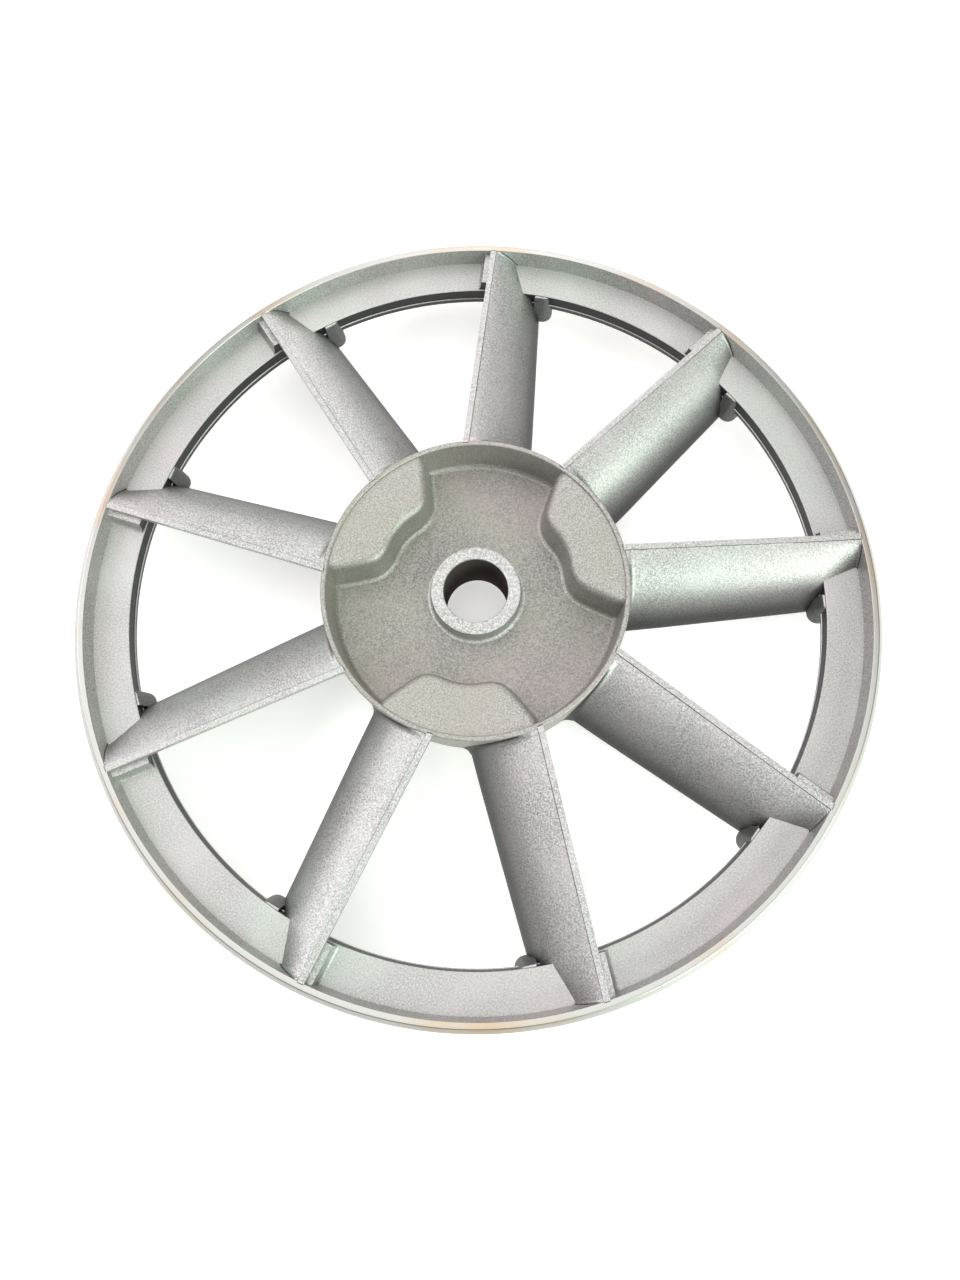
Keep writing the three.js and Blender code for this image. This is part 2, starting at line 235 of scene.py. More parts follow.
class Colours(bpy.types.PropertyGroup):
    cast_light: colour("Cast light", "Blasted skin on its high grains", "#DBDAD7")
    cast_dark: colour("Cast dark", "Blasted skin between its grains", "#8E8E8B")
    # Painted shade: the dark colour that the steep walls are drawn towards.
    painted_wall_shade: colour("Cast wall", "Skin of the steep walls, which the shot only grazes", "#1F2021")
    flange_light: colour("Flange light", "The flange's skin on its high grains", "#CECDCA")
    flange_dark: colour("Flange dark", "The flange's skin between its grains", "#A3A29F")
    # Painted shade: the darker colours of the pads under the flange.
    pad_shade_high: colour("Shade light", "As-cast skin that the shot missed, on its high grains", "#90918E")
    pad_shade_low: colour("Shade dark", "As-cast skin that the shot missed, between its grains", "#60615F")
    cast_green: colour("Cast green", "Faint green cast of the skin", "#CBD9CE")
    cast_rose: colour("Cast rose", "Faint rose cast of the skin", "#D3C9CB")
    hub_light: colour("Hub light", "Skin of the hub on its high grains", "#C6C5BF")
    hub_dark: colour("Hub dark", "Skin of the hub between its grains", "#8E8D87")
    # Painted shade: the darker colours of the hub's recessed floor.
    floor_shade_high: colour("Hub floor light", "Skin of the hub's recessed floor on its high grains", "#B3B2AC")
    floor_shade_low: colour("Hub floor dark", "Skin of the hub's recessed floor between its grains", "#7C7B76")
    hub_olive: colour("Hub olive", "Olive clouds in the hub's skin", "#AAA897")
    hub_rose: colour("Hub rose", "Rose clouds in the hub's skin", "#B5AAA7")
    # Painted shade: the bore's two dark colours, the second browner.
    bore: colour("Bore", "Reamed wall of the bore", "#514947")
    bore_shade_brown: colour("Bore oil", "Brown oil film in the bore", "#4B3C36")
    turned: colour("Turned", "Freshly turned metal", "#BCBCB7")
    turned_warm: colour("Turned warm", "Turned metal with a straw tint", "#BDA98F")
    floor: colour("Floor", "Plain pale floor", "#F4F4F2")


class Flywheel(bpy.types.PropertyGroup):
    rim: PointerProperty(type=RimSizes)
    flange: PointerProperty(type=FlangeSizes)
    blade: PointerProperty(type=BladeSizes)
    hub: PointerProperty(type=HubSizes)
    collar: PointerProperty(type=CollarSizes)
    colours: PointerProperty(type=Colours)


# ---- materials ----
def add(tree, kind, inputs, **settings):
    """Adds a node; inputs gives each socket its value, or the output that feeds it."""
    node = tree.nodes.new(kind)
    for name, value in settings.items():
        setattr(node, name, value)
    for key, value in inputs.items():
        if isinstance(value, bpy.types.NodeSocket):
            tree.links.new(value, node.inputs[key])
        else:
            node.inputs[key].default_value = value
    return node


def blank_material(name):
    material = bpy.data.materials.new(name)
    material.use_nodes = True
    material.node_tree.nodes.clear()
    return material, material.node_tree


def shot_blasted_aluminium(name, light, dark, wall, tint_a, tint_b, roughness, shade_share):
    """Sand-cast aluminium, shot blasted: a matt grey skin of fine bright and dark grains,
    with faint clouds of two tints where its oxide is thicker, and painted shade that darkens the steep
    walls."""
    material, tree = blank_material(name)
    place = add(tree, "ShaderNodeTexCoord", {}).outputs["Object"]
    # Grains of 0.6 mm: real shot marks are about 0.3 mm, drawn coarser so that they show.
    grain = add(
        tree, "ShaderNodeTexNoise",
        {"Vector": place, "Scale": 1 / (0.6 * MM), "Detail": 2.0, "Roughness": 0.7},
    )
    grain_spread = add(
        tree, "ShaderNodeMapRange", {"Value": grain.outputs["Fac"], "From Min": 0.36, "From Max": 0.64}
    )
    # Clouds about 25 mm across, and a slower wander of tint over 70 mm.
    cloud = add(tree, "ShaderNodeTexNoise", {"Vector": place, "Scale": 1 / (25 * MM), "Detail": 3.0})
    wander = add(tree, "ShaderNodeTexNoise", {"Vector": place, "Scale": 1 / (70 * MM), "Detail": 1.0})
    wander_spread = add(
        tree, "ShaderNodeMapRange", {"Value": wander.outputs["Fac"], "From Min": 0.36, "From Max": 0.64}
    )
    tint = add(
        tree, "ShaderNodeMix",
        {"Factor": wander_spread.outputs["Result"], "A": (*tint_a, 1), "B": (*tint_b, 1)},
        data_type="RGBA",
    )
    skin = add(
        tree, "ShaderNodeMix",
        {"Factor": grain_spread.outputs["Result"], "A": (*dark, 1), "B": (*light, 1)},
        data_type="RGBA",
    )
    cloud_share = add(
        tree, "ShaderNodeMapRange",
        {"Value": cloud.outputs["Fac"], "From Min": 0.3, "From Max": 0.75, "To Min": 0.0, "To Max": 0.55},
    )
    tinted = add(
        tree, "ShaderNodeMix",
        {"Factor": cloud_share.outputs["Result"], "A": skin.outputs["Result"], "B": tint.outputs["Result"]},
        data_type="RGBA",
    )
    # Painted shade: the steeper a wall, the more its colour is drawn towards the dark wall colour.
    normal = add(tree, "ShaderNodeNewGeometry", {}).outputs["Normal"]
    facing = add(tree, "ShaderNodeSeparateXYZ", {"Vector": normal})
    lean = add(tree, "ShaderNodeMath", {0: facing.outputs["Z"]}, operation="ABSOLUTE")
    wall_shade_factor = add(
        tree, "ShaderNodeMapRange",
        {
            "Value": lean.outputs["Value"],
            "From Min": 0.22, "From Max": 0.92, "To Min": shade_share, "To Max": 0.0,
        },
        interpolation_type="SMOOTHSTEP",
    )
    shaded_skin = add(
        tree, "ShaderNodeMix",
        {"Factor": wall_shade_factor.outputs["Result"], "A": tinted.outputs["Result"], "B": (*wall, 1)},
        data_type="RGBA",
    )
    # Single shot dents catch the light: cells of 0.6 mm, of which the brightest few sparkle.
    dents = add(tree, "ShaderNodeTexVoronoi", {"Vector": place, "Scale": 1 / (0.6 * MM)})
    sparkle = add(
        tree, "ShaderNodeMapRange",
        {
            "Value": dents.outputs["Color"],
            "From Min": 0.72, "From Max": 0.95, "To Min": roughness, "To Max": roughness - 0.12,
        },
    )
    bump = add(
        tree, "ShaderNodeBump", {"Height": grain.outputs["Fac"], "Strength": 0.5, "Distance": 0.15 * MM}
    )
    coarse = add(
        tree, "ShaderNodeBump",
        {
            "Height": cloud.outputs["Fac"], "Strength": 0.25, "Distance": 0.6 * MM,
            "Normal": bump.outputs["Normal"],
        },
    )
    metal = add(
        tree, "ShaderNodeBsdfPrincipled",
        {
            "Base Color": shaded_skin.outputs["Result"],
            "Metallic": 0.75,
            "Roughness": sparkle.outputs["Result"],
            "Normal": coarse.outputs["Normal"],
        },
    )
    add(tree, "ShaderNodeOutputMaterial", {"Surface": metal.outputs["BSDF"]})
    return material


def turned_aluminium(name, bright, warm, metallic=1.0, specular=0.5):
    """Aluminium turned on a lathe: bright, with fine rings round the axis and a faint straw tint.

    In the bore the dark colours are painted shade, and there the metal is neither metallic nor glossy.
    """
    material, tree = blank_material(name)
    place = add(tree, "ShaderNodeTexCoord", {}).outputs["Object"]
    # Tool marks every 0.35 mm of radius and height, drawn coarser than the real 0.1 mm feed.
    split = add(tree, "ShaderNodeSeparateXYZ", {"Vector": place})
    flat = add(tree, "ShaderNodeCombineXYZ", {"X": split.outputs["X"], "Y": split.outputs["Y"]})
    radius = add(tree, "ShaderNodeVectorMath", {"Vector": flat.outputs["Vector"]}, operation="LENGTH")
    travel = add(
        tree, "ShaderNodeMath", {0: radius.outputs["Value"], 1: split.outputs["Z"]}, operation="ADD"
    )
    marks = add(
        tree, "ShaderNodeTexNoise", {"W": travel.outputs["Value"], "Scale": 1 / (0.35 * MM), "Detail": 1.0},
        noise_dimensions="1D",
    )
    # Handling stains about 40 mm across.
    stain = add(tree, "ShaderNodeTexNoise", {"Vector": place, "Scale": 1 / (40 * MM), "Detail": 3.0})
    stain_share = add(
        tree, "ShaderNodeMapRange", {"Value": stain.outputs["Fac"], "From Min": 0.5, "From Max": 0.75}
    )
    tone = add(
        tree, "ShaderNodeMix",
        {"Factor": stain_share.outputs["Result"], "A": (*bright, 1), "B": (*warm, 1)},
        data_type="RGBA",
    )
    roughness = add(
        tree, "ShaderNodeMapRange", {"Value": marks.outputs["Fac"], "To Min": 0.2, "To Max": 0.42}
    )
    bump = add(
        tree, "ShaderNodeBump", {"Height": marks.outputs["Fac"], "Strength": 0.3, "Distance": 0.03 * MM}
    )
    metal = add(
        tree, "ShaderNodeBsdfPrincipled",
        {
            "Base Color": tone.outputs["Result"],
            "Metallic": metallic,
            "Specular IOR Level": specular,
            "Roughness": roughness.outputs["Result"],
            "Normal": bump.outputs["Normal"],
        },
    )
    add(tree, "ShaderNodeOutputMaterial", {"Surface": metal.outputs["BSDF"]})
    return material


def finish_named(name):
    """A finish, made on its first use."""
    if name in bpy.data.materials:
        return bpy.data.materials[name]
    paint = bpy.context.scene.flywheel.colours
    if name in BLASTED:
        light, dark, tint_a, tint_b, roughness, shade_share = BLASTED[name]
        tones = [getattr(paint, tone) for tone in (light, dark, "painted_wall_shade", tint_a, tint_b)]
        return shot_blasted_aluminium(name, *tones, roughness, shade_share)
    # The bore's colours are painted shade.
    if name == "bore_in_painted_shade":
        return turned_aluminium(name, paint.bore, paint.bore_shade_brown, metallic=0.0, specular=0.0)
    return turned_aluminium(name, paint.turned, paint.turned_warm)


# ---- shaping ----
def turned(profile, facets, angle=2 * math.pi, start=0.0):
    """A closed profile of (radius, height) points, turned about the wheel's axis."""
    bm = bmesh.new()
    verts = [bm.verts.new((radius, 0, height)) for radius, height in profile]
    edges = [bm.edges.new(pair) for pair in zip(verts, verts[1:] + verts[:1])]
    full = angle == 2 * math.pi
    section = [] if full else [bm.faces.new(verts)]
    bmesh.ops.rotate(bm, verts=verts, matrix=Matrix.Rotation(start, 3, "Z"))
    bmesh.ops.spin(
        bm, geom=verts + edges + section, cent=(0, 0, 0), axis=(0, 0, 1),
        angle=angle, steps=facets, use_merge=full,
    )
    return bm


def round_corner(bm, corner, width, segments=3):
    """Rounds the corner that runs round the wheel at a (radius, height)."""
    radius, height = corner

    def on_corner(vert):
        return abs(vert.co.xy.length - radius) < TOUCH and abs(vert.co.z - height) < TOUCH

    corner_edges = [edge for edge in bm.edges if all(on_corner(vert) for vert in edge.verts)]
    round_edges(bm, corner_edges, width, segments)


def round_edges(bm, edges, width, segments=3):
    bmesh.ops.bevel(
        bm, geom=edges, offset=width, offset_type="OFFSET", segments=segments, profile=0.5,
        affect="EDGES", material=-1, clamp_overlap=True,
    )


def moved_sideways(path, distances):
    """A path of 2-D points, each moved to the right of its direction of travel by its distance."""
    moved = []
    for i, point in enumerate(path):
        along = path[min(i + 1, len(path) - 1)] - path[max(i - 1, 0)]
        moved.append(point + Vector((along.y, -along.x)).normalized() * distances[i])
    return moved


def loft(rings):
    """A closed solid through rings of points with matching counts."""
    bm = bmesh.new()
    loops = []
    for ring in rings:
        verts = [bm.verts.new(point) for point in ring]
        loops.append([bm.edges.new(pair) for pair in zip(verts, verts[1:] + verts[:1])])
    for loop, following in zip(loops, loops[1:]):
        bmesh.ops.bridge_loops(bm, edges=loop + following)
    for end in (loops[0], loops[-1]):
        bmesh.ops.contextual_create(bm, geom=end)
    bmesh.ops.recalc_face_normals(bm, faces=bm.faces)
    return bm


def joined(*solids):
    """One closed mesh made of solids that overlap."""
    pieces = []
    for solid in solids:
        mesh = bpy.data.meshes.new("solid")
        solid.to_mesh(mesh)
        solid.free()
        pieces.append(bpy.data.objects.new("solid", mesh))
        bpy.context.scene.collection.objects.link(pieces[-1])
    for other in pieces[1:]:
        union = pieces[0].modifiers.new("union", "BOOLEAN")
        union.operation = "UNION"
        union.solver = "MANIFOLD"
        union.object = other
    bm = bmesh.new()
    bm.from_object(pieces[0], bpy.context.evaluated_depsgraph_get())
    for piece in pieces:
        bpy.data.meshes.remove(piece.data)
    return bm


def make_piece(bm, name, node, finishes):
    """Turns a bmesh into a finished piece that stands for a CAD node."""
    bmesh.ops.remove_doubles(bm, verts=bm.verts, dist=0.001 * MM)
    bmesh.ops.recalc_face_normals(bm, faces=bm.faces)
    for face in bm.faces:
        face.smooth = True
    for edge in bm.edges:
        edge.smooth = edge.is_manifold and edge.calc_face_angle() < SHARP_ANGLE
    mesh = bpy.data.meshes.new(name)
    bm.to_mesh(mesh)
    bm.free()
    for finish in finishes:
        mesh.materials.append(finish_named(finish))
    piece = bpy.data.objects.new(name, mesh)
    bpy.context.scene.collection.objects.link(piece)
    # Normals weighted by area keep the flat faces flat beside their small roundings.
    weighted = piece.modifiers.new("weighted normals", "WEIGHTED_NORMAL")
    weighted.keep_sharp = True
    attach(piece, "root")
    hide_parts(node)


def make_around(bm, count, first_angle, name, node, finishes):
    """Copies of one piece, spaced clockwise round the wheel."""
    for i in range(count):
        copy = bm.copy()
        turn = Matrix.Rotation(first_angle - i * 2 * math.pi / count, 3, "Z")
        bmesh.ops.rotate(copy, verts=copy.verts, matrix=turn)
        make_piece(copy, f"{name}_{i + 1}", f"{node}_{i + 1}", finishes)
    bm.free()


# ---- blades ----
def blade_front(flywheel, along):
    """The front surface of a blade at a distance along it, as (across, height) points."""
    hub, flange, rim = HUB_HIGH.x, flywheel.blade.flange_station, flywheel.rim.web_radius
    if along < flange:
        start, end, share = BLADE_CURVES["hub"], BLADE_CURVES["flange"], (along - hub) / (flange - hub)
    else:
        start, end, share = BLADE_CURVES["flange"], BLADE_CURVES["rim"], (along - flange) / (rim - flange)
    points = [Vector(a).lerp(Vector(b), share) for a, b in zip(start, end)]
    knots = [Vector((across * MM, RIM_HIGH.z - drop * MM)) for across, drop in points]
    return interpolate_bezier(*knots, CURVE_STEPS + 1)


def crest_height(sizes, along):
    """The crest lies level with the rim over the flange and climbs from there to the hub."""
    flange = sizes.flange_station
    share = min(max((flange - along) / (flange - HUB_HIGH.x), 0), 1)
    return RIM_HIGH.z + sizes.crest_rise * share


def plate_outline(flywheel, along, grow=0.0):
    """The section of a blade's plate, swollen sideways by its fillet where it meets a wall."""
    sizes = flywheel.blade
    top = crest_height(sizes, along)
    curve = blade_front(flywheel, along)
    # The fillet runs out towards the crest, so that it never rises above the land.
    swelling = [min(grow, FILLET_SHARE * max(top - point.y - sizes.step, 0)) for point in curve]
    front = moved_sideways(curve, swelling)
    back = moved_sideways(curve, [-sizes.thickness - swell for swell in swelling])
    land = [
        Vector((sizes.land_outer, top - sizes.crest_wall)),
        Vector((sizes.land_outer, top)),
        Vector((sizes.land_inner, top)),
        Vector((sizes.land_inner - sizes.step_run, top - 2 * sizes.step)),
    ]
    return land + front[1:] + back[1:][::-1]


def block_outline(flywheel, along):
    """The metal behind a blade's crest above the flange: the ledge, its foot and the fill."""
    sizes = flywheel.blade
    top, foot = RIM_HIGH.z - sizes.ledge_drop, FLANGE_HIGH.z
    flat, toe = sizes.land_outer + sizes.ledge_flat, sizes.land_outer + sizes.ledge_foot
    starts = (Vector((flat, top)), Vector((flat, foot)), Vector((toe, foot)), Vector((toe, foot)))
    knots = [start + Vector(away) * MM for start, away in zip(starts, LEDGE_FOOT)]
    side = interpolate_bezier(*knots, LEDGE_STEPS)
    # The block's other side runs inside the plate, from near the crest to mid-depth.
    curve = blade_front(flywheel, along)
    middle = moved_sideways(curve, [-sizes.thickness / 2] * len(curve))
    inside = middle[2:CURVE_STEPS // 2 + 2]
    floor = foot - sizes.ledge_sink
    bottom = [Vector((inside[-1].x, floor)), Vector((side[-1].x, floor))]
    return [starts[0]] + inside + bottom + side[::-1]


def on_wall(outline, radius_at):
    """Section points wrapped onto a round wall."""
    return [(math.sqrt(radius_at(p.y) ** 2 - p.x ** 2), p.x, p.y) for p in outline]


def straight(outline, along):
    """Section points on a flat plane across the blade."""
    return [(along, p.x, p.y) for p in outline]


def fillet_steps(radius, count=5):
    """(distance from the wall, swelling) pairs of a quarter-round fillet, from the wall out."""
    angles = [math.pi / 2 * i / count for i in range(count + 1)]
    return [(radius * (1 - math.cos(a)), radius * (1 - math.sin(a))) for a in angles]


def blade_solid(flywheel):
    """One blade along +X: its plate, filleted into the hub and the rim, and its ledge."""
    sizes, hub, rim = flywheel.blade, flywheel.hub, flywheel.rim

    def hub_wall(distance):
        lean = hub.draft / (HUB_HIGH.z - HUB_LOW.z)
        return lambda height: HUB_HIGH.x - lean * (HUB_HIGH.z - height) + distance

    def rim_wall(distance):
        lean = (rim.lip_radius - rim.web_radius) / (RIM_HIGH.z - FLANGE_HIGH.z)
        return lambda height: rim.web_radius + lean * max(height - FLANGE_HIGH.z, 0) - distance

    def root(distance, grow):
        along = HUB_HIGH.x + distance
        return on_wall(plate_outline(flywheel, along, grow), hub_wall(distance))

    def tip(distance, grow):
        along = rim.web_radius - distance
        return on_wall(plate_outline(flywheel, along, grow), rim_wall(distance))

    rings = [root(-sizes.root_sink, sizes.root_fillet)]
    rings += [root(distance, grow) for distance, grow in fillet_steps(sizes.root_fillet)]
    for station in BLADE_STATIONS:
        along = station * MM
        rings.append(straight(plate_outline(flywheel, along), along))
    rings += [tip(distance, grow) for distance, grow in reversed(fillet_steps(sizes.tip_fillet))]
    rings.append(tip(-sizes.tip_sink, sizes.tip_fillet))
    plate = loft(rings)
    inner_end, outer_end = HUB_HIGH.x - SINK, rim.web_radius - sizes.tip_clear

    def is_long_corner(edge):
        if not edge.is_manifold or edge.calc_face_angle() < CORNER_ANGLE:
            return False
        start, end = (vert.co for vert in edge.verts)
        return abs(start.x - end.x) > abs(start.y - end.y) and inner_end < start.x < outer_end

    corners = [edge for edge in plate.edges if is_long_corner(edge)]
    deep = [edge for edge in corners if edge.verts[0].co.z < RIM_HIGH.z - DEEP_SHARE * sizes.depth]
    crest = [edge for edge in corners if edge.verts[0].co.z > RIM_HIGH.z - sizes.edge_round]
    round_edges(plate, deep, sizes.deep_round)
    round_edges(plate, crest, sizes.edge_round, 2)
    start = flywheel.flange.inner_radius + flywheel.flange.draft
    block = loft([
        straight(block_outline(flywheel, start), start),
        straight(block_outline(flywheel, LEDGE_MIDDLE), LEDGE_MIDDLE),
        on_wall(block_outline(flywheel, rim.web_radius), rim_wall(-sizes.ledge_end)),
    ])
    solid = joined(plate, block)
    # The crest's land and the ledge take the rim's finish, which paints only a little shade on steep walls.
    for face in solid.faces:
        middle = face.calc_center_median()
        face.material_index = int(middle.y > sizes.land_inner and middle.z > FLANGE_HIGH.z)
    return solid


# ---- operators ----
class FLYWHEEL_OT_rim(bpy.types.Operator):
    """Build the rim: a turned belt track with a cast inner wall"""

    bl_idname = "flywheel.rim"
    bl_label = "Rim"

    def execute(self, context):
        sizes = context.scene.flywheel.rim
        flange = context.scene.flywheel.flange
        outer, front, back = RIM_HIGH.x, RIM_HIGH.z, RIM_LOW.z
        top = front - (front - back - sizes.grooves * sizes.groove_pitch) / 2
        grooves = []
        for i in range(sizes.grooves):
            middle = top - (i + 0.5) * sizes.groove_pitch
            mouth = (0.5 - sizes.groove_land) * sizes.groove_pitch
            floor = sizes.groove_floor * sizes.groove_pitch
            grooves += [
                (outer, middle + mouth),
                (outer - sizes.groove_depth, middle + floor),
                (outer - sizes.groove_depth, middle - floor),
                (outer, middle - mouth),
            ]
        flange_back = FLANGE_HIGH.z - flange.thickness
        bm = turned(
            [
                (sizes.lip_radius, front),
                (outer - sizes.chamfer, front),
                (outer, front - sizes.chamfer),
                *grooves,
                (outer, back + sizes.chamfer),
                (outer - sizes.chamfer, back),
                (sizes.lip_radius, back),
                (sizes.web_radius, flange_back),
                (sizes.web_radius, FLANGE_HIGH.z),
            ],
            FINE_TURN,
        )
        for height in (front, back):
            round_corner(bm, (sizes.lip_radius, height), sizes.edge_round)
            round_corner(bm, (outer - sizes.chamfer, height), sizes.edge_round, 2)
        bmesh.ops.recalc_face_normals(bm, faces=bm.faces)
        for face in bm.faces:
            middle = face.calc_center_median()
            face.material_index = int(middle.xy.length < sizes.lip_radius - sizes.edge_round / 2)
        make_piece(bm, "cast_rim", "rim", ["turned_aluminium", "blasted_rim"])
        return {"FINISHED"}


class FLYWHEEL_OT_flange(bpy.types.Operator):
    """Build the nine segments of the web inside the rim, each with the pad beside its blade"""

    bl_idname = "flywheel.flange"
    bl_label = "Flange segments"

    def execute(self, context):
        rim = context.scene.flywheel.rim
        sizes = context.scene.flywheel.flange
        front = FLANGE_HIGH.z
        back = front - sizes.thickness
        middle = (front + back) / 2 - sizes.parting_drop
        outer, inner = rim.web_radius + SINK, sizes.inner_radius
        bm = turned(
            [
                (inner + sizes.draft, front),
                (outer, front),
                (outer, back),
                (inner + sizes.draft, back),
                (inner, middle - sizes.parting_half),
                (inner - sizes.parting_ridge, middle),
                (inner, middle + sizes.parting_half),
            ],
            FINE_TURN // BLADES, BLADE_PITCH, SEAM_TURN - BLADE_PITCH,
        )
        bmesh.ops.recalc_face_normals(bm, faces=bm.faces)
        round_corner(bm, (inner + sizes.draft, front), sizes.edge_round)
        round_corner(bm, (inner + sizes.draft, back), sizes.edge_round)
        bm = joined(bm, self.pad(sizes))
        # Painted shade: the pad's faces below the flange's back and inside its inner wall take a darker
        # finish.
        for face in bm.faces:
            middle = face.calc_center_median()
            in_painted_shade = middle.z < back - TOUCH or middle.xy.length < inner - sizes.parting_ridge - TOUCH
            face.material_index = int(in_painted_shade)
        finishes = ["blasted_flange", "painted_pad_shade"]
        make_around(bm, BLADES, FIRST_BLADE, "cast_flange", "rim_flange", finishes)
        return {"FINISHED"}

    def pad(self, sizes):
        """A round-ended block under the flange, against the deep side of the blade.

        Its nose leans outwards as it rises, until it meets the flange's inner wall.
        """
        bm = bmesh.new()
        low, end, start = FLANGE_LOW.z, sizes.pad_end, sizes.inner_radius
        top = FLANGE_HIGH.z - sizes.pad_drop
        near, far = -sizes.pad_offset + sizes.pad_radius, -sizes.pad_offset - sizes.pad_radius
        tip = bm.verts.new((start - sizes.pad_radius, -sizes.pad_offset, low))
        bmesh.ops.spin(
            bm, geom=[tip], cent=(start, -sizes.pad_offset, low), axis=(0, 0, 1),
            angle=math.pi / 2, steps=10,
        )
        last = min(bm.verts, key=lambda vert: vert.co.y)
        places = ((end, far, low), (end, near, low), (tip.co.x, near, low))
        corners = [bm.verts.new(place) for place in places]
        for pair in zip([last, *corners], [*corners, tip]):
            bm.edges.new(pair)
        bmesh.ops.contextual_create(bm, geom=bm.edges[:])
        side = bmesh.ops.extrude_face_region(bm, geom=bm.faces[:])["geom"]
        risen = [item for item in side if isinstance(item, bmesh.types.BMVert)]
        bmesh.ops.translate(bm, verts=risen, vec=(0, 0, top - low))
        nose = [vert for vert in risen if vert.co.x < start + TOUCH]
        bmesh.ops.translate(bm, verts=nose, vec=(sizes.pad_lean, 0, 0))
        bmesh.ops.recalc_face_normals(bm, faces=bm.faces)
        # All but the edge against the rim is rounded, back and front.
        for height, width in ((low, sizes.pad_round), (top, sizes.pad_crown)):
            rounded = [
                edge for edge in bm.edges
                if all(abs(vert.co.z - height) < TOUCH for vert in edge.verts)
                and min(vert.co.x for vert in edge.verts) < end - TOUCH
            ]
            round_edges(bm, rounded, width, 4)
        return bm


class FLYWHEEL_OT_blades(bpy.types.Operator):
    """Build the nine curved fan blades with their crests and ledges"""

    bl_idname = "flywheel.blades"
    bl_label = "Fan blades"

    def execute(self, context):
        bm = blade_solid(context.scene.flywheel)
        finishes = ["blasted_blade", "blasted_rim"]
        make_around(bm, BLADES, FIRST_BLADE, "cast_blade", "blade", finishes)
        return {"FINISHED"}


class FLYWHEEL_OT_hub_cup(bpy.types.Operator):
    """Build the hub: a thin ring, a recessed floor and a skirt behind it"""

    bl_idname = "flywheel.hub_cup"
    bl_label = "Hub cup"

    def execute(self, context):
        sizes = context.scene.flywheel.hub
        outer, top, back = HUB_HIGH.x, HUB_HIGH.z, HUB_LOW.z
        floor = top - sizes.floor_drop
        skirt = outer - sizes.draft
        hole = COLLAR_HIGH.x - sizes.hole_sink
        bm = turned(
            [
                (hole, floor),
                (sizes.floor_radius, floor),
                (outer - sizes.wall, top),
                (outer, top),
                (skirt, back),
                (skirt - sizes.wall, back),
                (skirt - sizes.skirt_root, floor - sizes.floor_thickness),
                (hole, floor - sizes.floor_thickness),
            ],
            FINE_TURN,
        )
        bmesh.ops.recalc_face_normals(bm, faces=bm.faces)
        round_corner(bm, (sizes.floor_radius, floor), sizes.floor_fillet, 5)
        round_corner(bm, (outer - sizes.wall, top), sizes.ring_round)
        round_corner(bm, (outer, top), sizes.ring_round)
        round_corner(bm, (skirt, back), sizes.ring_round, 2)
        round_corner(bm, (skirt - sizes.wall, back), sizes.ring_round, 2)
        round_corner(bm, (skirt - sizes.skirt_root, floor - sizes.floor_thickness), sizes.floor_fillet, 4)
        # Painted shade: faces at the recessed floor's height take the darker floor finish.
        for face in bm.faces:
            middle = face.calc_center_median()
            face.material_index = int(abs(middle.z - floor) < sizes.floor_shade_band)
        make_piece(bm, "cast_hub", "hub_cup", ["blasted_hub", "painted_floor_shade"])
        return {"FINISHED"}


class FLYWHEEL_OT_hub_bosses(bpy.types.Operator):
    """Build the three two-lobed bosses inside the hub ring"""

    bl_idname = "flywheel.hub_bosses"
    bl_label = "Hub bosses"

    def execute(self, context):
        sizes = context.scene.flywheel.hub
        top, floor = BOSS_HIGH.z, HUB_HIGH.z - sizes.floor_drop
        edge = self.smooth_edge()
        wall = HUB_HIGH.x - sizes.draft - SINK
        drop = top - floor
        rings = [self.ring(edge, floor - sizes.boss_sink, sizes.boss_draft + sizes.boss_fillet, wall)]
        for rise, grow in fillet_steps(sizes.boss_fillet):
            draft = sizes.boss_draft * (1 - rise / drop)
            rings.append(self.ring(edge, floor + rise, draft + grow, wall))
        for fall, shrink in reversed(fillet_steps(sizes.boss_round)):
            draft = sizes.boss_draft * fall / drop
            rings.append(self.ring(edge, top - fall, draft - shrink, wall))
        bm = loft(rings)
        # The first boss stands midway between the second blade and the third.
        first = FIRST_BLADE - 1.5 * BLADE_PITCH
        make_around(bm, BOSSES, first, "cast_boss", "hub_boss", ["blasted_hub"])
        return {"FINISHED"}

    def smooth_edge(self):
        """The whole inner edge as one smooth path of (out, across) points."""
        half = [Vector((out, across)) * MM for across, out in BOSS_EDGE]
        points = [Vector((p.x, -p.y)) for p in half[:0:-1]] + half
        path = [points[0]]
        for i in range(len(points) - 1):
            before, after = points[max(i - 1, 0)], points[min(i + 2, len(points) - 1)]
            lead_out = points[i] + (points[i + 1] - before) / 6
            lead_in = points[i + 1] - (after - points[i]) / 6
            path += interpolate_bezier(points[i], lead_out, lead_in, points[i + 1], BOSS_CURVE_STEPS)[1:]
        return path

    def ring(self, edge, height, grow, wall):
        """The boss's outline at a height, with its inner edge moved in by an amount."""
        inner = moved_sideways(edge, [-grow] * len(edge))
        inner = [point * min(1, wall / point.length) for point in inner]
        end = math.atan2(inner[-1].y, inner[-1].x)
        arc = [Vector((wall, 0)) for _ in range(BOSS_ARC_STEPS + 1)]
        for i, point in enumerate(arc):
            point.rotate(Matrix.Rotation(end - 2 * end * i / BOSS_ARC_STEPS, 2))
        return [(point.x, point.y, height) for point in inner + arc]


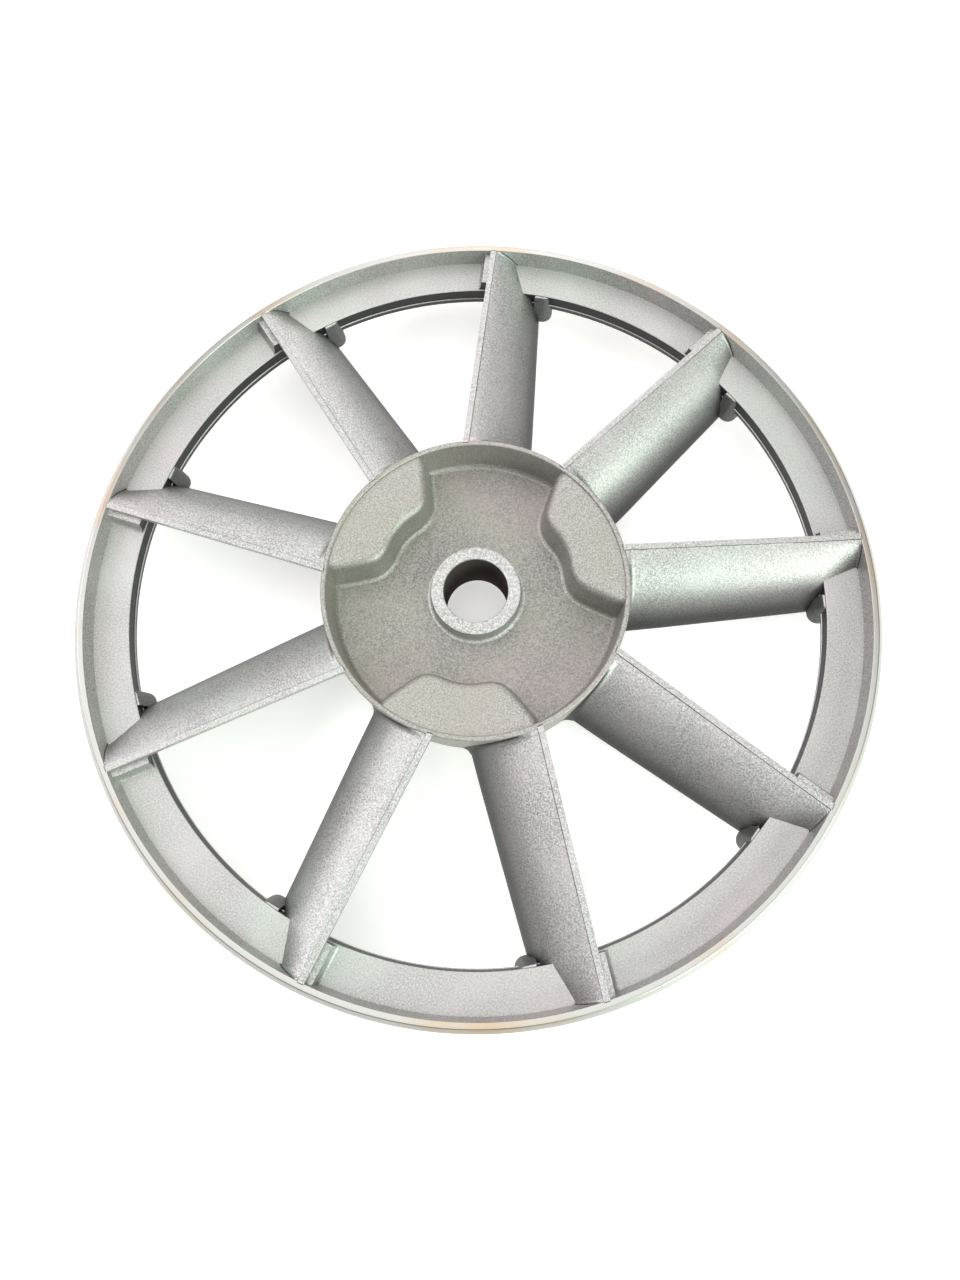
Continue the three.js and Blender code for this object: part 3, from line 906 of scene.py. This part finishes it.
class FLYWHEEL_OT_bore_collar(bpy.types.Operator):
    """Build the bored collar in the middle of the hub"""

    bl_idname = "flywheel.bore_collar"
    bl_label = "Bore collar"

    def execute(self, context):
        sizes = context.scene.flywheel.collar
        hub = context.scene.flywheel.hub
        outer, top, back = COLLAR_HIGH.x, COLLAR_HIGH.z, COLLAR_LOW.z
        floor = HUB_HIGH.z - hub.floor_drop
        foot = [(outer + swell, floor + rise) for rise, swell in fillet_steps(sizes.foot_fillet)]
        bm = turned(
            [
                (sizes.bore_radius, back),
                (outer, back),
                (outer, floor - hub.floor_thickness / 2),
                (outer + sizes.foot_fillet, floor - sizes.foot_sink),
                *foot,
                (outer, top),
                (sizes.bore_radius, top),
            ],
            COLLAR_TURN,
        )
        bmesh.ops.recalc_face_normals(bm, faces=bm.faces)
        for radius in (outer, sizes.bore_radius):
            round_corner(bm, (radius, top), sizes.chamfer, 2)
            round_corner(bm, (radius, back), sizes.chamfer, 2)
        # The bore's wall takes the bore's painted shade.
        for face in bm.faces:
            inside = max(vert.co.xy.length for vert in face.verts) < sizes.bore_radius + TOUCH
            face.material_index = int(inside)
        make_piece(bm, "cast_collar", "bore_collar", ["blasted_rim", "bore_in_painted_shade"])
        return {"FINISHED"}


class FLYWHEEL_OT_stage(bpy.types.Operator):
    """Set up the floor, the soft lights and the camera"""

    bl_idname = "flywheel.stage"
    bl_label = "Stage"

    def execute(self, context):
        scene = context.scene
        bm = bmesh.new()
        bmesh.ops.create_grid(bm, x_segments=2, y_segments=2, size=4)
        bmesh.ops.translate(bm, verts=bm.verts, vec=(0, 0, COLLAR_LOW.z - FLOOR_GAP))
        mesh = bpy.data.meshes.new("floor")
        bm.to_mesh(mesh)
        bm.free()
        material, tree = blank_material("matt_floor")
        paint = (*scene.flywheel.colours.floor, 1)
        matt = add(
            tree, "ShaderNodeBsdfPrincipled",
            {"Base Color": paint, "Roughness": 0.9, "Emission Color": paint, "Emission Strength": 0.5},
        )
        add(tree, "ShaderNodeOutputMaterial", {"Surface": matt.outputs["BSDF"]})
        mesh.materials.append(material)
        floor = bpy.data.objects.new("floor", mesh)
        scene.collection.objects.link(floor)

        world = bpy.data.worlds.new("soft_daylight")
        scene.world = world
        world.use_nodes = True
        world.node_tree.nodes["Background"].inputs["Color"].default_value = (1, 1, 1, 1)
        world.node_tree.nodes["Background"].inputs["Strength"].default_value = 0.34
        for name, light in LIGHTS.items():
            self.area_light(scene, name, *light)
        scene.view_settings.view_transform = "Standard"

        camera = bpy.data.objects.new("camera", bpy.data.cameras.new("camera"))
        scene.collection.objects.link(camera)
        position = Vector(CAMERA_PLACE)
        facing = (Vector(CAMERA_TARGET) - position).to_track_quat("-Z", "Y").to_matrix().to_4x4()
        roll = Matrix.Rotation(CAMERA_ROLL, 4, "Z")
        camera.matrix_world = Matrix.Translation(position) @ facing @ roll
        camera.data.lens = CAMERA_LENS
        camera.data.shift_x, camera.data.shift_y = CAMERA_SHIFT
        camera.data.clip_start = 0.01
        scene.camera = camera
        return {"FINISHED"}

    def area_light(self, scene, name, position, side, watts, tone):
        light = bpy.data.objects.new(name, bpy.data.lights.new(name, "AREA"))
        light.data.shape = "SQUARE"
        light.data.size = side
        light.data.energy = watts
        light.data.color = tone
        light.location = position
        light.rotation_euler = (-Vector(position)).to_track_quat("-Z", "Y").to_euler()
        scene.collection.objects.link(light)


class FLYWHEEL_PT_panel(bpy.types.Panel):
    """The flywheel's sizes and the buttons that build its pieces"""

    bl_idname = "FLYWHEEL_PT_panel"
    bl_label = "Flywheel"
    bl_space_type = "VIEW_3D"
    bl_region_type = "UI"
    bl_category = "Flywheel"

    def draw(self, context):
        flywheel = context.scene.flywheel
        for operator in OPERATORS:
            self.layout.operator(operator.bl_idname)
        groups = (flywheel.rim, flywheel.flange, flywheel.blade, flywheel.hub, flywheel.collar)
        for group in (*groups, flywheel.colours):
            box = self.layout.box()
            for name in group.__annotations__:
                box.prop(group, name)


OPERATORS = (
    FLYWHEEL_OT_stage,
    FLYWHEEL_OT_rim,
    FLYWHEEL_OT_flange,
    FLYWHEEL_OT_blades,
    FLYWHEEL_OT_hub_cup,
    FLYWHEEL_OT_hub_bosses,
    FLYWHEEL_OT_bore_collar,
)
CLASSES = (
    RimSizes, FlangeSizes, BladeSizes, HubSizes, CollarSizes, Colours, Flywheel,
    *OPERATORS, FLYWHEEL_PT_panel,
)


def register():
    for cls in CLASSES:
        bpy.utils.register_class(cls)
    bpy.types.Scene.flywheel = PointerProperty(type=Flywheel)


def unregister():
    del bpy.types.Scene.flywheel
    for cls in reversed(CLASSES):
        bpy.utils.unregister_class(cls)


def main():
    register()
    bpy.ops.flywheel.stage()
    bpy.ops.flywheel.rim()
    bpy.ops.flywheel.flange()
    bpy.ops.flywheel.blades()
    bpy.ops.flywheel.hub_cup()
    bpy.ops.flywheel.hub_bosses()
    bpy.ops.flywheel.bore_collar()


if __name__ == "__main__":
    main()
